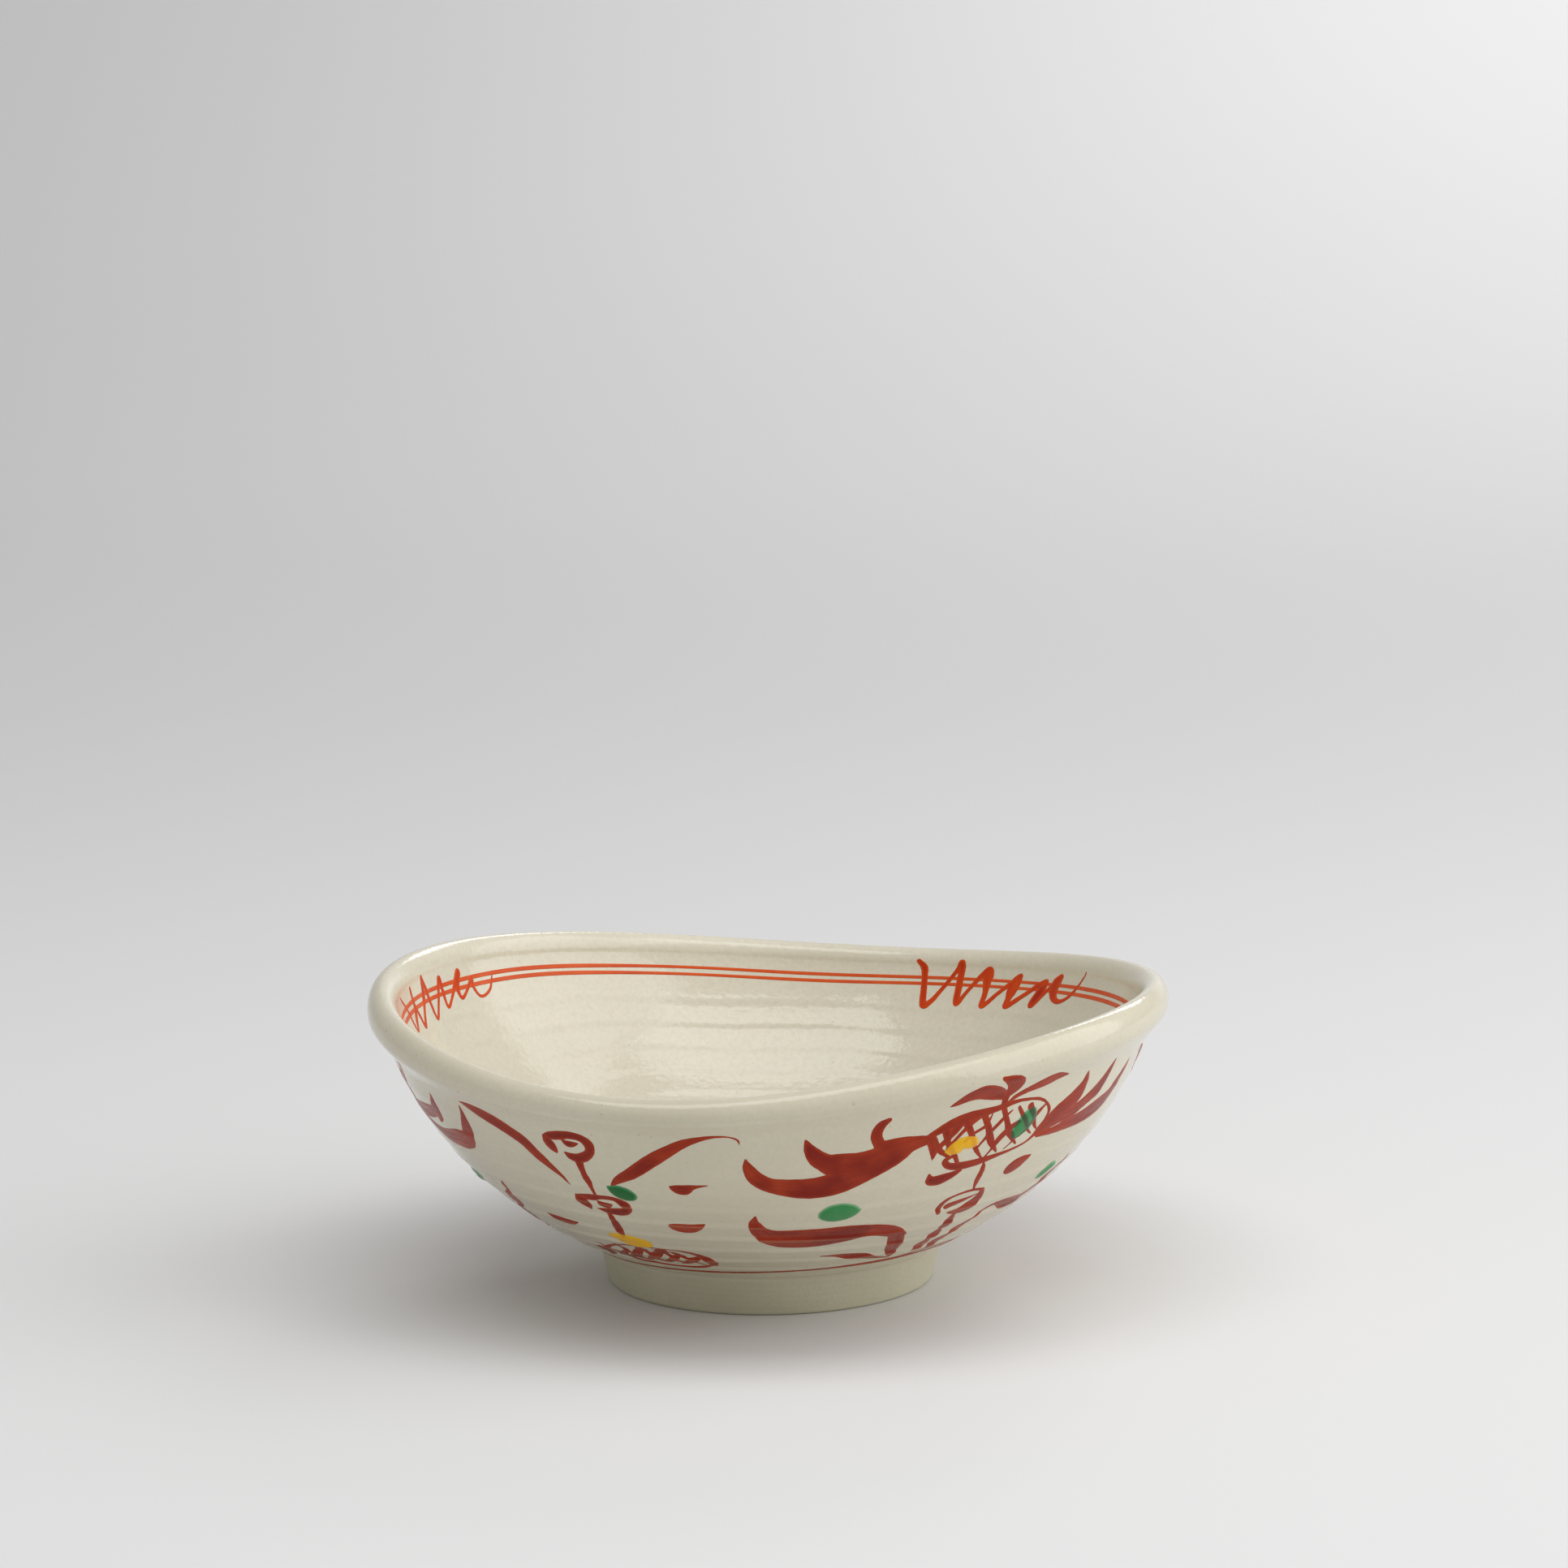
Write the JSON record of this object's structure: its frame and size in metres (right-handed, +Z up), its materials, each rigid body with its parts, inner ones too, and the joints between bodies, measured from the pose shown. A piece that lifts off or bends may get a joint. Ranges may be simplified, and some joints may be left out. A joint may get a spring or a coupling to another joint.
{
  "type": "ceramic serving bowl",
  "caption": "Wheel-thrown glazed ceramic bowl with a wavy rolled lip, a turned foot ring and hand-painted red, green and yellow enamel decoration.",
  "frame": {"origin": "centre of the foot ring on the table plane", "axes": "+Z up along the bowl's turning axis, -Y towards the painted front, +X to the right of the front"},
  "size_m": [0.1687, 0.1672, 0.0657],
  "materials": {
    "bare_clay": "satin grey-green fired clay of the foot ring",
    "cream_glaze": "glossy cream glaze with fine specks and throwing rings",
    "iron_red_enamel": "iron red overglaze enamel, deeper where the brush left more",
    "green_enamel": "glossy green overglaze enamel",
    "yellow_enamel": "glossy yellow overglaze enamel"
  },
  "bodies": {
    "root": {"clay_body": "bare_clay", "glaze_coat": "cream_glaze", "foot_line": "iron_red_enamel", "inner_line_upper": "iron_red_enamel", "inner_line_lower": "iron_red_enamel", "zigzag_left": "iron_red_enamel", "zigzag_right": "iron_red_enamel", "zigzag_front": "iron_red_enamel", "fish_front": "iron_red_enamel", "low_wave_front": "iron_red_enamel", "arch_leaf_front": "iron_red_enamel", "vine_front": "iron_red_enamel", "pod_front": "iron_red_enamel", "scroll_front": "iron_red_enamel", "fish_left": "iron_red_enamel", "low_wave_left": "iron_red_enamel", "arch_leaf_left": "iron_red_enamel", "vine_left": "iron_red_enamel", "pod_left": "iron_red_enamel", "scroll_left": "iron_red_enamel", "fish_right": "iron_red_enamel", "low_wave_right": "iron_red_enamel", "arch_leaf_right": "iron_red_enamel", "vine_right": "iron_red_enamel", "pod_right": "iron_red_enamel", "scroll_right": "iron_red_enamel", "base_leaf_front": "iron_red_enamel", "reed_front": "iron_red_enamel", "reed_left": "iron_red_enamel", "reed_right": "iron_red_enamel", "fin_front": "iron_red_enamel", "upper_dab_front": "iron_red_enamel", "lower_dab_front": "iron_red_enamel", "side_dab_front": "iron_red_enamel", "right_dab_front": "iron_red_enamel", "long_leaf_front": "iron_red_enamel", "long_leaf_right": "iron_red_enamel", "green_pebble_front": "green_enamel", "green_side_drop_front": "green_enamel", "green_bud_front": "green_enamel", "green_pebble_left": "green_enamel", "green_side_drop_left": "green_enamel", "green_bud_left": "green_enamel", "green_pebble_right": "green_enamel", "green_side_drop_right": "green_enamel", "green_bud_right": "green_enamel", "green_fish_drop_front": "green_enamel", "yellow_bud_front": "yellow_enamel", "yellow_bud_left": "yellow_enamel", "yellow_bud_right": "yellow_enamel", "yellow_fish_drop_front": "yellow_enamel"}
  },
  "joints": []
}
